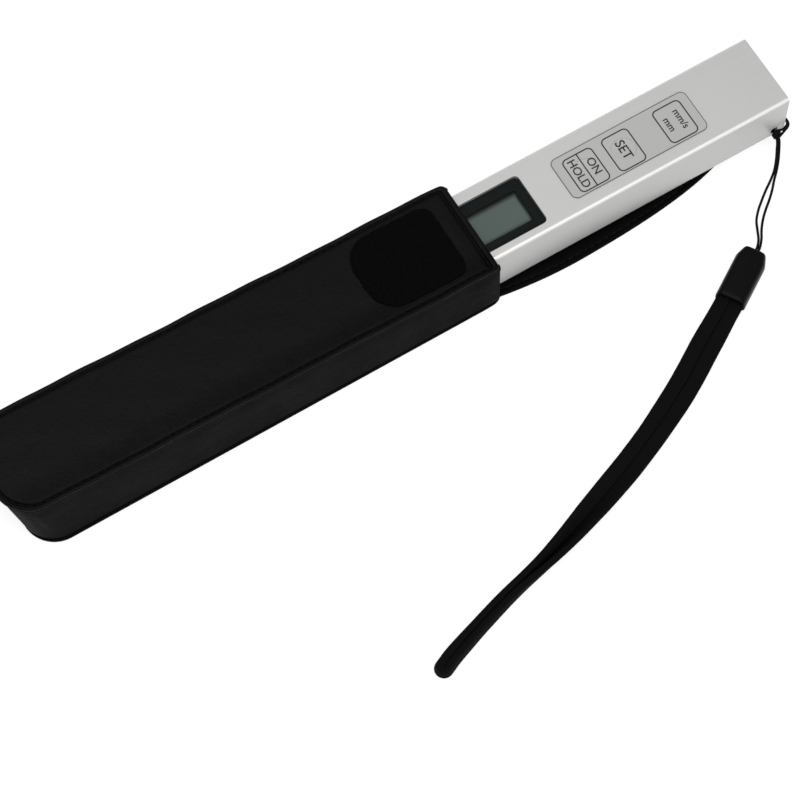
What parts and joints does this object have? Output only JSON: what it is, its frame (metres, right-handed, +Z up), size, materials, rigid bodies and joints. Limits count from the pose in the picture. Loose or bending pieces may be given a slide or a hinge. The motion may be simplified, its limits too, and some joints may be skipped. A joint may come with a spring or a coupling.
{
  "type": "pen vibration meter",
  "caption": "Pen-shaped vibration meter with display and film keys, partly drawn out of a black leather-like sheath with closing flap, with wrist strap.",
  "frame": {"origin": "on the floor, midway between the sheath's closed end and the meter's strap end, on the sheath's middle plane", "axes": "+X from the sheath's closed end to the meter's strap end; +Z up, out of the front; +Y to the side away from the wrist strap"},
  "size_m": [0.2374, 0.1118, 0.0276],
  "materials": {
    "leatherette": "fine-grained black leatherette, semi-matte",
    "loop_fabric": "black loop pile",
    "hook_plastic": "black hook tape",
    "satin_aluminium": "satin anodised",
    "black_plastic": "moulded, semi-matte",
    "clear_plastic": "clear pane",
    "display_glass": "grey-green liquid-crystal cell",
    "strip_rubber": "zebra strip",
    "keypad_film": "printed silver-grey film",
    "steel": "turned steel",
    "brass": "turned brass",
    "piezo_ceramic": "matte ceramic",
    "board_laminate": "green solder mask",
    "black_cord": "fine braided cord",
    "black_webbing": "woven flat webbing"
  },
  "bodies": {
    "sheath": {"back_panel": "leatherette", "side_band": "leatherette", "front_panel": "leatherette", "loop_patch": "loop_fabric", "hook_patch": "hook_plastic"},
    "meter": {"housing": "satin_aluminium", "end_cap": "black_plastic", "near_cap_screw": "steel", "far_cap_screw": "steel", "nose_cap": "black_plastic", "probe_tip": "steel", "probe_lock_nut": "steel", "sensor_base": "steel", "piezo_disc_1": "piezo_ceramic", "piezo_disc_2": "piezo_ceramic", "electrode_plate": "brass", "seismic_mass": "brass", "preload_screw": "steel", "display_window": "clear_plastic", "window_gasket": "black_plastic", "display_glass": "display_glass", "display_holder": "black_plastic", "near_contact_strip": "strip_rubber", "far_contact_strip": "strip_rubber", "circuit_board": "board_laminate", "keypad_film": "keypad_film", "on_switch": "black_plastic", "mode_switch": "black_plastic", "battery_holder": "black_plastic", "button_cell_1": "steel", "button_cell_2": "steel", "button_cell_3": "steel", "battery_contact": "steel", "battery_spring": "steel", "strap_loop": "black_cord", "strap_knot": "black_cord", "left_cord": "black_cord", "right_cord": "black_cord", "strap_clasp": "black_plastic", "wrist_strap": "black_webbing"},
    "on_key": {"on_key": "keypad_film"},
    "mode_key": {"mode_key": "keypad_film"}
  },
  "joints": [
    {"name": "meter_slide", "type": "slide", "parent": "sheath", "child": "meter", "axis": [1, 0, 0], "range_m": [-0.078, 0.06]},
    {"name": "on_key_press", "type": "slide", "parent": "meter", "child": "on_key", "axis": [0, 0, -1], "range_m": [0, 0.0004], "stiffness_N_per_m": 3000, "springref_m": -0.0002},
    {"name": "mode_key_press", "type": "slide", "parent": "meter", "child": "mode_key", "axis": [0, 0, -1], "range_m": [0, 0.0004], "stiffness_N_per_m": 3000, "springref_m": -0.0002}
  ]
}
